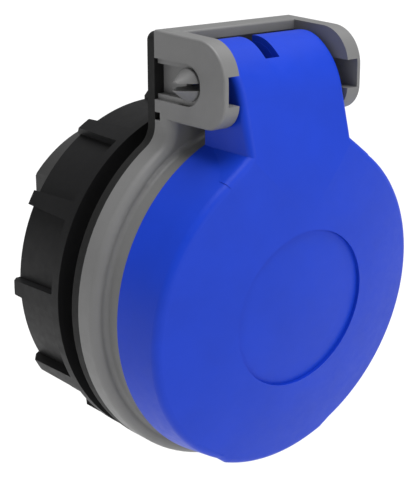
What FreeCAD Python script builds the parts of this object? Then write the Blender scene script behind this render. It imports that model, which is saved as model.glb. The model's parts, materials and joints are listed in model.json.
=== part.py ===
import FreeCAD, Part
import math
import os

# Round panel mounted power socket with a sprung hinged lid, in millimetres.
# The socket's axis lies along Y and its front looks towards -Y, with +Z up and the hinge on top.
# The origin is on the axis, at the rear face of the flange gasket, which seats on the panel.

# Plug well: the housing, the nut and the lid are laid round it, wall by wall
WELL_R = 19.6
WELL_DEPTH = 17.5
INSERT_WALL = 2.85
INSERT_CLEAR = 0.15

# Flange, gasket and threaded barrel of the front housing
GASKET_T = 1.8
FLANGE_WIDTH = 4.5
FLANGE_T = 4.3
FLANGE_ROUND = 1.5
COLLAR_STEP = 2.4
COLLAR_T = 3.6
COLLAR_FILLET = 0.8
RIM_WALL = 1.6
RIM_T = 3.8
SEAT_STEP = 1.6
SEAT_DEPTH = 2.4
BARREL_WALL = 3.9
BARREL_LEN = 19.0
BARREL_CHAMFER = 0.8
BARREL_CLEAR = 0.1

# Hinge plate with its two ears and the cross bar over the lid's hood
PLATE_HALF = 14.9
PLATE_RISE = 7.8
PLATE_CORNER = 1.5
PLATE_FILLET = 4.0
EAR_T = 3.1
EAR_NOSE = 9.0
EAR_BELOW = 6.4
EAR_TOP_ROUND = 6.2
EAR_LOW_ROUND = 4.3
EAR_TOP_DROP = 0.4
EAR_EDGE_ROUND = 0.4
HINGE_REACH = 8.1
HINGE_RISE = 6.0
HINGE_WALL = 1.3
SWEEP_CLEAR = 0.7
RECESS_R = 3.35
RECESS_DEPTH = 1.9
NOTCH_SKIN = 0.9
KEY_NOTCH = 1.3
KEY_NOTCH_DEPTH = 3.0

# Hinge pin with its split snap end, and the torsion spring round it
PIN_R = 2.25
PIN_CLEAR = 0.08
SNAP_R = 2.75
SNAP_SLIT = 1.15
SNAP_SLIT_LEN = 7.0
PIN_HEAD_R = 3.0
PIN_HEAD_T = 1.5
PIN_END_PLAY = 0.05
SPRING_WIRE_R = 0.4
SPRING_X = 0.2
SPRING_PITCH = 1.1
SPRING_TURNS = 5
SPRING_STEPS = 20
SPRING_SIDES = 8
SPRING_GAP = 0.5
SPRING_LEG_CLEAR = 0.05

# Lid: skirt, crowned face, dimple, finger lip, neck and hinge hood
LID_GAP = 0.3
SKIRT_LAP = 0.7
SKIRT_TAPER = 1.0
FACE_REACH = 8.6
FACE_TILT = 5.6
FACE_CROWN = 3.5
FACE_ROUND = 1.5
DIMPLE_R = 13.7
DIMPLE_DEPTH = 0.6
LIP_HALF_DEG = 22.0
SKIRT_ROOT_DEG = 41.0
LIP_SETBACK = 2.5
WEB_DROP = 2.4
WEB_DEG = 34.0
LID_WALL = 1.6
NECK_SIDE_GAP = 0.6
NECK_WALL = 1.8
NECK_END_WALL = 2.4
NECK_EDGE = 1.2
NECK_ARC_R = 12.0
NECK_ARC_END = 15.0
NECK_SWEEP_R = 60.0
HOOD_R = 6.5
HOOD_REAR_DEG = 100.0
HOOD_FRONT_DEG = 60.0
KNUCKLE_STEP = 1.9
HOOD_SLOT_X = -2.0
HOOD_SLOT_W = 3.0
HOOD_SLOT_DEG = 33.0

# Lid gasket and the ring walls that hold it
SEAL_STEP = 0.2
SEAL_WIDTH = 4.2
SEAL_T = 1.3
SEAL_GAP = 0.15
SEAL_SIDE_CLEAR = 0.1
SEAT_WALL = 1.2
GUIDE_RISE = 1.1

# Lock nut on the barrel, shown clear of the gasket by the panel's gap
PANEL_GAP = 4.35
NUT_WALL = 2.6
NUT_LEN = 14.0
NUT_BAND = 1.9
NUT_RIBS = 12
RIB_HEIGHT = 1.6
RIB_FRONT_HALF = 1.75
RIB_REAR_HALF = 1.25
RIB_CHAMFER = 1.1
RIB_OVERHANG = 0.5

# Insert with the plug well's floor and guides, and the contacts
WELL_FLOOR_T = 6.0
GUIDE_HALF = 2.3
GUIDE_HEIGHT = 1.7
GUIDE_SETBACK = 1.2
PIN_SPACING = 19.0
PIN_HOLE_R = 2.75
PIN_HOLE_LEAD = 0.8
SLEEVE_BORE_R = 2.45
SLEEVE_WALL = 0.85
SLEEVE_LEN = 15.2
SLEEVE_SLOT = 0.8
SLEEVE_SLOT_LEN = 10.5
SLEEVE_SETBACK = 2.3
FIT_CLEAR = 0.1
RING_T = 0.6
RING_LEN = 5.0
RING_SLIT = 1.0
RING_SETBACK = 0.7

# Earth strap, a bent strip with a sprung contact at each end
STRAP_T = 0.8
STRAP_W = 5.0
STRAP_ARM_OUT = 1.2
STRAP_BUMP_IN = 1.2
STRAP_TIP_OUT = 0.6
STRAP_TIP_SETBACK = 4.6
STRAP_BUMP_SETBACK = 9.0
STRAP_KNEE_SETBACK = 14.5

# Terminal block behind the barrel, with its three terminals and their screws
BLOCK_STEP = 2.6
BLOCK_LEN = 11.0
BLOCK_FLAT_DEPTH = 6.1
BLOCK_CHAMFER = 0.4
BLOCK_SEAT_GAP = 0.05
TERMINAL_W = 8.0
TERMINAL_H = 9.0
TERMINAL_LEN = 14.0
TERMINAL_END_WALL = 3.0
EARTH_TERMINAL_IN = 4.6
EARTH_TERMINAL_H = 8.0
WIRE_R = 1.9
WIRE_DEPTH = 11.0
WIRE_ENTRY_GAP = 0.4
CLAMP_R = 1.65
CLAMP_HEAD_R = 2.4
CLAMP_HEAD_T = 1.8
CLAMP_SETBACK = 4.0
CLAMP_STANDOFF = 2.0
CLAMP_BACK_OFF = 0.1
EARTH_STANDOFF = 1.5
CLAMP_SLOT_W = 0.7
CLAMP_SLOT_DEPTH = 0.9
THREAD_CLEAR = 0.05

# Long screws that clamp the insert and the block on the housing's ledge and barrel
CARRIER_IN = 1.5
CARRIER_DEG = 50.0
CARRIER_R = 1.45
CARRIER_HEAD_R = 2.8
CARRIER_HEAD_T = 2.0
CARRIER_FLOOR = 1.0

# Radii and heights that follow from the sizes above, from the well outwards
BORE_R = WELL_R + INSERT_WALL + INSERT_CLEAR
SEAT_R = BORE_R + SEAT_STEP
RIM_R = SEAT_R + RIM_WALL
BARREL_R = BORE_R + BARREL_WALL
FLANGE_R = BARREL_R + FLANGE_WIDTH
COLLAR_R = FLANGE_R - COLLAR_STEP
NUT_BORE_R = BARREL_R + BARREL_CLEAR
NUT_ROOT_R = NUT_BORE_R + NUT_WALL
NUT_R = NUT_ROOT_R + RIB_HEIGHT
BLOCK_R = BARREL_R - BLOCK_STEP
BLOCK_FLAT = BLOCK_R - BLOCK_FLAT_DEPTH
HINGE_Z = FLANGE_R + HINGE_RISE
PLATE_TOP = HINGE_Z + PLATE_RISE
EAR_INNER = PLATE_HALF - EAR_T
NECK_HALF = EAR_INNER - NECK_SIDE_GAP
KNUCKLE_R = HOOD_R - KNUCKLE_STEP
SWEEP_R = HOOD_R + SWEEP_CLEAR
SKIRT_R = COLLAR_R + SKIRT_LAP
FACE_R = SKIRT_R - SKIRT_TAPER
WEB_NECK_Z = SKIRT_R - WEB_DROP
SEAL_OUTER_R = RIM_R - SEAL_STEP
SEAL_INNER_R = SEAL_OUTER_R - SEAL_WIDTH
STRAP_ARM_Z = WELL_R + STRAP_ARM_OUT
STRAP_BUMP_Z = WELL_R - STRAP_BUMP_IN
STRAP_TIP_Z = WELL_R + STRAP_TIP_OUT
EARTH_TERMINAL_Z = EARTH_TERMINAL_IN - WELL_R
CARRIER_X = (WELL_R - CARRIER_IN) * math.cos(math.radians(CARRIER_DEG))
CARRIER_Z = (WELL_R - CARRIER_IN) * math.sin(math.radians(CARRIER_DEG))

# Places along the axis that follow from the sizes above
FLANGE_REAR = -GASKET_T
FLANGE_FRONT = FLANGE_REAR - FLANGE_T
COLLAR_FRONT = FLANGE_FRONT - COLLAR_T
RIM_FRONT = COLLAR_FRONT - RIM_T
LEDGE = RIM_FRONT + SEAT_DEPTH
BARREL_END = FLANGE_REAR + GASKET_T + BARREL_LEN
WELL_FLOOR = RIM_FRONT + WELL_DEPTH
INSERT_REAR = WELL_FLOOR + WELL_FLOOR_T
BLOCK_SEAT = BARREL_END + BLOCK_SEAT_GAP
BLOCK_REAR = BLOCK_SEAT + BLOCK_LEN
HINGE_Y = FLANGE_REAR - HINGE_REACH
LID_REAR = COLLAR_FRONT - LID_GAP
FACE_Y = LID_REAR - FACE_REACH
SEAL_REAR = RIM_FRONT - SEAL_GAP
SEAL_FRONT = SEAL_REAR - SEAL_T
PIN_SEAT_R = PIN_R + PIN_CLEAR
SPRING_COIL_R = PIN_R + SPRING_GAP + SPRING_WIRE_R
SLEEVE_R = SLEEVE_BORE_R + SLEEVE_WALL
SLEEVE_FRONT = WELL_FLOOR + SLEEVE_SETBACK
SLEEVE_REAR = SLEEVE_FRONT + SLEEVE_LEN
RING_FRONT = SLEEVE_FRONT + RING_SETBACK
STRAP_FRONT = INSERT_REAR + BLOCK_SEAT_GAP
STRAP_REAR = STRAP_FRONT + STRAP_T
TERMINAL_REAR = BLOCK_REAR - TERMINAL_END_WALL
TERMINAL_TOP = -0.7 * SLEEVE_R
CLAMP_Y = TERMINAL_REAR - CLAMP_SETBACK
OVER = 1.0


def vec(x, y, z):
    return FreeCAD.Vector(x, y, z)


def box(x0, x1, y0, y1, z0, z1):
    return Part.makeBox(x1 - x0, y1 - y0, z1 - z0, vec(x0, y0, z0))


def disc(r, y0, y1, x=0.0, z=0.0):
    """Cylinder along the socket's axis."""
    return Part.makeCylinder(r, y1 - y0, vec(x, y0, z), vec(0, 1, 0))


def rod(r, x0, x1, y, z):
    """Cylinder across the socket, along X."""
    return Part.makeCylinder(r, x1 - x0, vec(x0, y, z), vec(1, 0, 0))


def post(r, z0, z1, x, y):
    """Upright cylinder, along Z."""
    return Part.makeCylinder(r, z1 - z0, vec(x, y, z0), vec(0, 0, 1))


def cone(r0, r1, y0, y1, x=0.0, z=0.0):
    return Part.makeCone(r0, r1, y1 - y0, vec(x, y0, z), vec(0, 1, 0))


def ring(r_out, r_in, y0, y1, x=0.0, z=0.0):
    return disc(r_out, y0, y1, x, z).cut(disc(r_in, y0 - OVER, y1 + OVER, x, z))


def about_hinge(r, degrees):
    """Point (y, z) at radius r from the hinge axis; 0 degrees looks forward, 90 up."""
    a = math.radians(degrees)
    return HINGE_Y - r * math.cos(a), HINGE_Z + r * math.sin(a)


def side_arc(centre, r, deg0, deg1):
    """Arc edge in the YZ plane; 0 degrees looks forward, 90 up."""
    points = []
    for degrees in (deg0, 0.5 * (deg0 + deg1), deg1):
        a = math.radians(degrees)
        points.append(vec(0, centre[0] - r * math.cos(a), centre[1] + r * math.sin(a)))
    return Part.Arc(*points).toShape()


def side_line(p, q):
    return Part.LineSegment(vec(0, *p), vec(0, *q)).toShape()


def side_prism(edges, x0, x1):
    """Solid with an outline in the YZ plane, between two planes across X."""
    face = Part.Face(Part.Wire(edges))
    face.translate(vec(x0, 0, 0))
    return face.extrude(vec(x1 - x0, 0, 0))


def side_polygon(points, x0, x1):
    edges = [side_line(p, q) for p, q in zip(points, points[1:] + points[:1])]
    return side_prism(edges, x0, x1)


def both_sides(shape):
    return shape.fuse(shape.mirror(vec(0, 0, 0), vec(1, 0, 0)))


def plate_outline(y):
    """Face of the flange's outline at a place along the axis: a circle with the hinge tab on top."""
    centre_x = PLATE_HALF + PLATE_FILLET
    reach = FLANGE_R + PLATE_FILLET
    centre_z = math.sqrt(reach**2 - centre_x**2)
    touch_x = centre_x * FLANGE_R / reach
    touch_z = centre_z * FLANGE_R / reach
    lean = math.atan2(centre_z, centre_x)
    mid = 0.5 * lean + math.pi
    bow_x = centre_x + PLATE_FILLET * math.cos(mid)
    bow_z = centre_z + PLATE_FILLET * math.sin(mid)
    corner = PLATE_CORNER * (1.0 - math.sqrt(0.5))
    top = PLATE_TOP
    side = PLATE_HALF

    def arc(a, b, c):
        return Part.Arc(vec(a[0], y, a[1]), vec(b[0], y, b[1]), vec(c[0], y, c[1])).toShape()

    def line(a, b):
        return Part.LineSegment(vec(a[0], y, a[1]), vec(b[0], y, b[1])).toShape()

    edges = [
        arc((touch_x, touch_z), (0, -FLANGE_R), (-touch_x, touch_z)),
        arc((-touch_x, touch_z), (-bow_x, bow_z), (-side, centre_z)),
        line((-side, centre_z), (-side, top - PLATE_CORNER)),
        arc((-side, top - PLATE_CORNER), (-side + corner, top - corner), (-side + PLATE_CORNER, top)),
        line((-side + PLATE_CORNER, top), (side - PLATE_CORNER, top)),
        arc((side - PLATE_CORNER, top), (side - corner, top - corner), (side, top - PLATE_CORNER)),
        line((side, top - PLATE_CORNER), (side, centre_z)),
        arc((side, centre_z), (bow_x, bow_z), (touch_x, touch_z)),
    ]
    return Part.Face(Part.Wire(edges))


def ear():
    """Right ear of the hinge, with its pin recess open to the rear and its notch open to the front."""
    nose = HINGE_Y - EAR_NOSE
    low = HINGE_Z - EAR_BELOW
    front_top = PLATE_TOP - EAR_TOP_DROP
    top_centre = (nose + EAR_TOP_ROUND, front_top - EAR_TOP_ROUND)
    low_centre = (nose + EAR_LOW_ROUND, low + EAR_LOW_ROUND)
    edges = [
        side_line((FLANGE_REAR, low), (FLANGE_REAR, PLATE_TOP)),
        side_line((FLANGE_REAR, PLATE_TOP), (top_centre[0], front_top)),
        side_arc(top_centre, EAR_TOP_ROUND, 90, 0),
        side_line((nose, top_centre[1]), (nose, low_centre[1])),
        side_arc(low_centre, EAR_LOW_ROUND, 0, -90),
        side_line((low_centre[0], low), (FLANGE_REAR, low)),
    ]
    body = side_prism(edges, EAR_INNER, PLATE_HALF)
    front_edges = [
        e for e in body.Edges
        if all(abs(v.X - PLATE_HALF) < 1e-6 for v in e.Vertexes)
        and e.CenterOfMass.y < FLANGE_FRONT
        and e.Length > 1e-3
    ]
    return body.makeFillet(EAR_EDGE_ROUND, front_edges)


def ear_cuts():
    """Outer recess for the pin's end, open to the rear, and inner notch, open to the front."""
    floor = PLATE_HALF - RECESS_DEPTH
    recess = rod(RECESS_R, floor, PLATE_HALF + OVER, HINGE_Y, HINGE_Z)
    recess = recess.fuse(box(
        floor, PLATE_HALF + OVER, HINGE_Y, FLANGE_REAR + OVER, HINGE_Z - RECESS_R, HINGE_Z + RECESS_R
    ))
    skin = PLATE_HALF - NOTCH_SKIN
    notch = rod(PIN_SEAT_R, EAR_INNER - OVER, skin, HINGE_Y, HINGE_Z)
    notch = notch.fuse(box(
        EAR_INNER - OVER, skin, HINGE_Y - EAR_NOSE - OVER, HINGE_Y, HINGE_Z - PIN_SEAT_R, HINGE_Z + PIN_SEAT_R
    ))
    low = HINGE_Z - EAR_BELOW
    key = box(
        PLATE_HALF - KEY_NOTCH_DEPTH, PLATE_HALF + OVER,
        FLANGE_REAR - KEY_NOTCH, FLANGE_REAR + OVER, low - 0.2 * KEY_NOTCH, low + 0.8 * KEY_NOTCH
    )
    return recess.fuse([notch, key])


def hood_sweep():
    """Room that the lid's hood turns in, between the ears."""
    sweep = rod(SWEEP_R, -EAR_INNER, EAR_INNER, HINGE_Y, HINGE_Z)
    wall_front = FLANGE_REAR - HINGE_WALL
    return sweep.common(box(
        -EAR_INNER, EAR_INNER, HINGE_Y - SWEEP_R, wall_front, HINGE_Z - SWEEP_R, HINGE_Z + SWEEP_R
    ))


def front_housing():
    plate = plate_outline(FLANGE_REAR).extrude(vec(0, -FLANGE_T, 0))
    front_edges = [e for e in plate.Edges if all(abs(v.Y - FLANGE_FRONT) < 1e-6 for v in e.Vertexes)]
    body = plate.makeFillet(FLANGE_ROUND, front_edges).fuse(both_sides(ear()))
    collar = disc(COLLAR_R, COLLAR_FRONT, FLANGE_REAR)
    foot = disc(COLLAR_R + COLLAR_FILLET, FLANGE_FRONT - COLLAR_FILLET, FLANGE_REAR)
    hollow_at = vec(0, FLANGE_FRONT - COLLAR_FILLET, 0)
    hollow = Part.makeTorus(COLLAR_R + COLLAR_FILLET, COLLAR_FILLET, hollow_at, vec(0, 1, 0))
    rim = disc(RIM_R, RIM_FRONT, FLANGE_REAR)
    barrel = disc(BARREL_R, FLANGE_REAR - 0.5 * FLANGE_T, BARREL_END - BARREL_CHAMFER)
    barrel_tip = cone(BARREL_R, BARREL_R - BARREL_CHAMFER, BARREL_END - BARREL_CHAMFER, BARREL_END)
    body = body.fuse([collar, foot.cut(hollow), rim, barrel, barrel_tip])
    bore = disc(BORE_R, RIM_FRONT - OVER, BARREL_END + OVER)
    seat = disc(SEAT_R, RIM_FRONT - OVER, LEDGE)
    leg_x = SPRING_X + SPRING_PITCH * SPRING_TURNS
    pocket = spring_leg(leg_x, HINGE_Y, FLANGE_REAR - 0.5 * HINGE_WALL, SPRING_LEG_CLEAR)
    cuts = [seat, both_sides(ear_cuts()), hood_sweep(), pocket]
    return body.cut(bore.fuse(cuts)).removeSplitter()


def flange_gasket():
    sheet = plate_outline(FLANGE_REAR).extrude(vec(0, GASKET_T, 0))
    return sheet.cut(disc(BARREL_R + BARREL_CLEAR, FLANGE_REAR - OVER, OVER))


def grip_rib():
    """Raised rib at the top of the nut, wider at the front and chamfered at the rear."""
    front = PANEL_GAP + 0.5 * NUT_BAND
    rear = PANEL_GAP + NUT_LEN + RIB_OVERHANG
    root = 0.5 * (NUT_BORE_R + NUT_ROOT_R)
    corners = [
        vec(-RIB_FRONT_HALF, front, root), vec(RIB_FRONT_HALF, front, root),
        vec(RIB_REAR_HALF, rear, root), vec(-RIB_REAR_HALF, rear, root),
    ]
    blank = Part.Face(Part.makePolygon(corners + corners[:1])).extrude(vec(0, 0, NUT_R))
    tip = cone(NUT_R, NUT_R - RIB_CHAMFER, rear - RIB_CHAMFER, rear)
    return blank.common(disc(NUT_R, front, rear - RIB_CHAMFER).fuse(tip))


def lock_nut():
    front = PANEL_GAP
    rear = PANEL_GAP + NUT_LEN
    band = disc(NUT_R, front, front + NUT_BAND)
    body = disc(NUT_ROOT_R, front, rear)
    rib = grip_rib()
    ribs = []
    for index in range(NUT_RIBS):
        turned = rib.copy()
        turned.rotate(vec(0, 0, 0), vec(0, 1, 0), index * 360.0 / NUT_RIBS)
        ribs.append(turned)
    body = body.fuse([band] + ribs)
    return body.cut(disc(NUT_BORE_R, front - OVER, rear + OVER)).removeSplitter()


def crown_radius():
    return (FACE_R**2 + FACE_CROWN**2) / (2.0 * FACE_CROWN)


def crown_centre():
    back = crown_radius() - FACE_CROWN
    tilt = math.radians(FACE_TILT)
    return vec(0, FACE_Y + back * math.cos(tilt), back * math.sin(tilt))


def crown_ball(skin):
    """Ball whose front is the lid's crowned face, drawn in by skin."""
    return Part.makeSphere(crown_radius() - skin, crown_centre())


def skirt_cone(skin):
    """Tapered skirt of the lid, drawn in by skin, longer than the face needs."""
    taper = (SKIRT_R - FACE_R) / FACE_REACH
    depth = FACE_REACH + FACE_CROWN + FACE_R * math.sin(math.radians(FACE_TILT)) + OVER
    return cone(SKIRT_R - skin - taper * depth, SKIRT_R - skin, LID_REAR - depth, LID_REAR)


def finger_lip():
    """Lip at the bottom of the lid, an arc with straight flanks that run into the skirt."""
    tip = math.radians(LIP_HALF_DEG)
    root = math.radians(SKIRT_ROOT_DEG)
    y = LID_REAR - LIP_SETBACK

    def at(r, a):
        return vec(r * math.sin(a), y, -r * math.cos(a))

    right_tip = at(SKIRT_R, tip)
    left_tip = at(SKIRT_R, -tip)
    right_root = at(FACE_R, root)
    left_root = at(FACE_R, -root)
    hub = vec(0, y, 0)
    edges = [
        Part.LineSegment(hub, left_root).toShape(),
        Part.LineSegment(left_root, left_tip).toShape(),
        Part.Arc(left_tip, at(SKIRT_R, 0), right_tip).toShape(),
        Part.LineSegment(right_tip, right_root).toShape(),
        Part.LineSegment(right_root, hub).toShape(),
    ]
    return Part.Face(Part.Wire(edges)).extrude(vec(0, -FACE_REACH - FACE_CROWN - LIP_SETBACK, 0))


def neck_webs():
    """Webs that run the neck's sides out into the rim of the face."""
    a = math.radians(WEB_DEG)
    y = LID_REAR - LIP_SETBACK
    low = vec(FACE_R * math.sin(a), y, FACE_R * math.cos(a))
    high = vec(NECK_HALF, y, WEB_NECK_Z)
    inner_x = NECK_HALF - NECK_END_WALL
    inner = high + (high - low) * ((inner_x - NECK_HALF) / (NECK_HALF - low.x))
    hub = vec(0, y, 0)
    face = Part.Face(Part.makePolygon([hub, inner, low, hub]))
    return both_sides(face.extrude(vec(0, -FACE_REACH - FACE_CROWN - LIP_SETBACK, 0)))


def on_crown(point):
    return abs(point.distanceToPoint(crown_centre()) - crown_radius()) < 1e-4


def round_face_edge(body):
    """Body cut to the crowned face, with the outer edge of that face rounded."""
    body = body.common(crown_ball(0.0)).removeSplitter()
    edges = []
    for edge in body.Edges:
        middle = edge.valueAt(0.5 * (edge.FirstParameter + edge.LastParameter))
        outer = math.hypot(middle.x, middle.z) > 0.9 * FACE_R
        if outer and on_crown(middle) and all(on_crown(v.Point) for v in edge.Vertexes):
            edges.append(edge)
    return body.makeFillet(FACE_ROUND, edges)


def lid_shell():
    """Skirt, crowned face and finger lip, still solid inside."""
    edge_pads = [round_face_edge(finger_lip()), round_face_edge(neck_webs())]
    return round_face_edge(skirt_cone(0.0)).fuse(edge_pads)


def neck_sweep():
    """Large arc from the neck's straight run onto the crown: its start, centre and end angle."""
    shift = NECK_ARC_R - HOOD_R
    turn = math.radians(HOOD_FRONT_DEG)
    end = math.radians(NECK_ARC_END)
    centre = (HINGE_Y + shift * math.cos(turn), HINGE_Z - shift * math.sin(turn))
    start = (centre[0] - NECK_ARC_R * math.cos(end), centre[1] + NECK_ARC_R * math.sin(end))
    ball = crown_centre()
    hub = (start[0] + NECK_SWEEP_R * math.cos(end), start[1] - NECK_SWEEP_R * math.sin(end))
    apart = (hub[0] - ball.y, hub[1] - ball.z)
    ahead = (-math.sin(end), -math.cos(end))
    along = apart[0] * ahead[0] + apart[1] * ahead[1]
    reach = crown_radius() - NECK_SWEEP_R
    run = -along + math.sqrt(along**2 - apart[0]**2 - apart[1]**2 + reach**2)
    hub = (hub[0] + run * ahead[0], hub[1] + run * ahead[1])
    foot = math.degrees(math.atan2(hub[1] - ball.z, ball.y - hub[0]))
    return centre, hub, foot


def neck_outline(skin):
    """Front line of the neck and hood, drawn in by skin, from the hood's rear edge to the foot."""
    centre, hub, foot = neck_sweep()
    small = HOOD_R - skin
    big = NECK_ARC_R - skin
    sweep = NECK_SWEEP_R - skin
    end = math.radians(NECK_ARC_END)
    circles = ((centre, big), (hub, sweep))
    straight = [(c[0] - r * math.cos(end), c[1] + r * math.sin(end)) for c, r in circles]
    a = math.radians(foot)
    tip = (hub[0] - sweep * math.cos(a), hub[1] + sweep * math.sin(a))
    edges = [
        side_arc((HINGE_Y, HINGE_Z), small, HOOD_REAR_DEG, HOOD_FRONT_DEG),
        side_arc(centre, big, HOOD_FRONT_DEG, NECK_ARC_END),
        side_line(*straight),
        side_arc(hub, sweep, NECK_ARC_END, foot),
    ]
    return edges, tip


def neck_block():
    """Neck from the face up to the hood, as deep as the skirt, with its front edges rounded."""
    edges, foot = neck_outline(0.0)
    heel = (LID_REAR, foot[1])
    back = (LID_REAR, SKIRT_R - 0.5 * LID_WALL)
    under = about_hinge(KNUCKLE_R, -90)
    lift = about_hinge(KNUCKLE_R, HOOD_REAR_DEG)
    edges += [
        side_line(foot, heel),
        side_line(heel, back),
        side_line(back, under),
        side_arc((HINGE_Y, HINGE_Z), KNUCKLE_R, 270, HOOD_REAR_DEG),
        side_line(lift, about_hinge(HOOD_R, HOOD_REAR_DEG)),
    ]
    body = side_prism(edges, -NECK_HALF, NECK_HALF)
    soft = []
    for edge in body.Edges:
        middle = edge.valueAt(0.5 * (edge.FirstParameter + edge.LastParameter))
        at_side = abs(abs(middle.x) - NECK_HALF) < 1e-6
        above_foot = edge.Vertexes[0].Z > foot[1] - 1e-6 and middle.z > foot[1] + 0.1
        if at_side and above_foot and middle.y < HINGE_Y - 0.5:
            soft.append(edge)
    return body.makeFillet(NECK_EDGE, soft).common(crown_ball(0.0))


def ahead_of_neck():
    """Space in front of the neck's run onto the crown, which the face gives way to."""
    edges, foot = neck_outline(0.0)
    far = FACE_Y - 2.0 * FACE_CROWN
    top = about_hinge(HOOD_R, HOOD_REAR_DEG)
    edges += [
        side_line(foot, (far, foot[1])),
        side_line((far, foot[1]), (far, top[1])),
        side_line((far, top[1]), top),
    ]
    return side_prism(edges, -NECK_HALF, NECK_HALF)


def neck_room():
    """Hollow of the neck and hood between the two end walls, open to the rear."""
    half = NECK_HALF - NECK_END_WALL
    edges, foot = neck_outline(NECK_WALL)
    start = about_hinge(HOOD_R - NECK_WALL, HOOD_REAR_DEG)
    edges += [
        side_line(foot, (OVER, foot[1])),
        side_line((OVER, foot[1]), (OVER, PLATE_TOP + OVER)),
        side_line((OVER, PLATE_TOP + OVER), (start[0], PLATE_TOP + OVER)),
        side_line((start[0], PLATE_TOP + OVER), start),
    ]
    return side_prism(edges, -half, half).cut(skirt_cone(0.0))


def hood_slot():
    """Slot through the top of the hood, open at its rear edge."""
    inner = HOOD_R - 2.0 * NECK_WALL
    outer = HOOD_R + 2.0 * NECK_WALL
    middle = 0.5 * (HOOD_SLOT_DEG + HOOD_REAR_DEG)
    points = [
        about_hinge(inner, HOOD_SLOT_DEG),
        about_hinge(outer, HOOD_SLOT_DEG),
        about_hinge(outer + NECK_WALL, middle),
        about_hinge(outer, HOOD_REAR_DEG + 10),
        about_hinge(inner, HOOD_REAR_DEG + 10),
    ]
    return side_polygon(points, HOOD_SLOT_X - 0.5 * HOOD_SLOT_W, HOOD_SLOT_X + 0.5 * HOOD_SLOT_W)


def seal_walls():
    """Ring walls inside the lid: two that the gasket lies on, the inner one with a guide edge."""
    outer = SEAL_OUTER_R
    deep = FACE_Y - FACE_CROWN - FACE_R * math.sin(math.radians(FACE_TILT))
    lands = ring(outer, outer - SEAT_WALL, deep, SEAL_FRONT)
    guide_r = SEAL_INNER_R - SEAL_SIDE_CLEAR
    lands = lands.fuse(ring(guide_r + SEAT_WALL, guide_r - SEAT_WALL, deep, SEAL_FRONT))
    lands = lands.fuse(ring(guide_r, guide_r - SEAT_WALL, deep, SEAL_FRONT + GUIDE_RISE))
    return lands.common(crown_ball(0.5 * LID_WALL))


def dimple():
    tilt = math.radians(FACE_TILT)
    ahead = vec(0, -math.cos(tilt), -math.sin(tilt))
    base = vec(0, FACE_Y, 0) - ahead * FACE_CROWN
    plug = Part.makeCylinder(DIMPLE_R, 3.0 * FACE_CROWN, base, ahead)
    return plug.cut(crown_ball(DIMPLE_DEPTH))


def lid():
    body = lid_shell().cut(ahead_of_neck()).fuse(neck_block())
    hollow = skirt_cone(LID_WALL).common(crown_ball(LID_WALL))
    body = body.cut(hollow.fuse(neck_room())).fuse(seal_walls())
    bore = rod(PIN_SEAT_R, -NECK_HALF - OVER, NECK_HALF + OVER, HINGE_Y, HINGE_Z)
    pocket = spring_leg(SPRING_X, leg_pocket_front() - SPRING_LEG_CLEAR, HINGE_Y, SPRING_LEG_CLEAR)
    return body.cut(bore.fuse([hood_slot(), dimple(), pocket])).removeSplitter()


def lid_gasket():
    return ring(SEAL_OUTER_R, SEAL_INNER_R, SEAL_FRONT, SEAL_REAR)


def hinge_pin():
    floor = PLATE_HALF - RECESS_DEPTH + PIN_END_PLAY
    shaft = rod(PIN_R, -floor, floor, HINGE_Y, HINGE_Z)
    head = rod(PIN_HEAD_R, floor, floor + PIN_HEAD_T, HINGE_Y, HINGE_Z)
    snap = rod(SNAP_R, -PLATE_HALF, -floor, HINGE_Y, HINGE_Z)
    dome = Part.makeSphere(SNAP_R, vec(-PLATE_HALF, HINGE_Y, HINGE_Z))
    body = shaft.fuse([head, snap, dome])
    slit = box(
        -PLATE_HALF - SNAP_R - OVER, -floor + SNAP_SLIT_LEN,
        HINGE_Y - SNAP_R - OVER, HINGE_Y + SNAP_R + OVER,
        HINGE_Z - 0.5 * SNAP_SLIT, HINGE_Z + 0.5 * SNAP_SLIT
    )
    return body.cut(slit).removeSplitter()


def spring_leg(x, y0, y1, extra):
    """Straight leg of the spring under the pin, or the pocket for its end if extra is a clearance."""
    return disc(SPRING_WIRE_R + extra, y0, y1, x, HINGE_Z - SPRING_COIL_R)


def leg_pocket_front():
    """Place along the axis where the lid's leg ends, inside the neck's front wall."""
    r = NECK_ARC_R
    end = math.radians(NECK_ARC_END)
    turn = math.radians(HOOD_FRONT_DEG)
    y = HINGE_Y + (r - HOOD_R) * math.cos(turn) - r * math.cos(end)
    return y + 0.5 * NECK_WALL


def spring_coil_frames():
    """Middle of the wire and its two cross directions, step by step along the coil."""
    frames = []
    for index in range(SPRING_TURNS * SPRING_STEPS + 1):
        a = 2.0 * math.pi * index / SPRING_STEPS
        x = SPRING_X + SPRING_PITCH * index / SPRING_STEPS
        out = vec(0, math.sin(a), -math.cos(a))
        frames.append((vec(x, HINGE_Y, HINGE_Z) + out * SPRING_COIL_R, out, vec(1, 0, 0)))
    return frames


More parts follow.
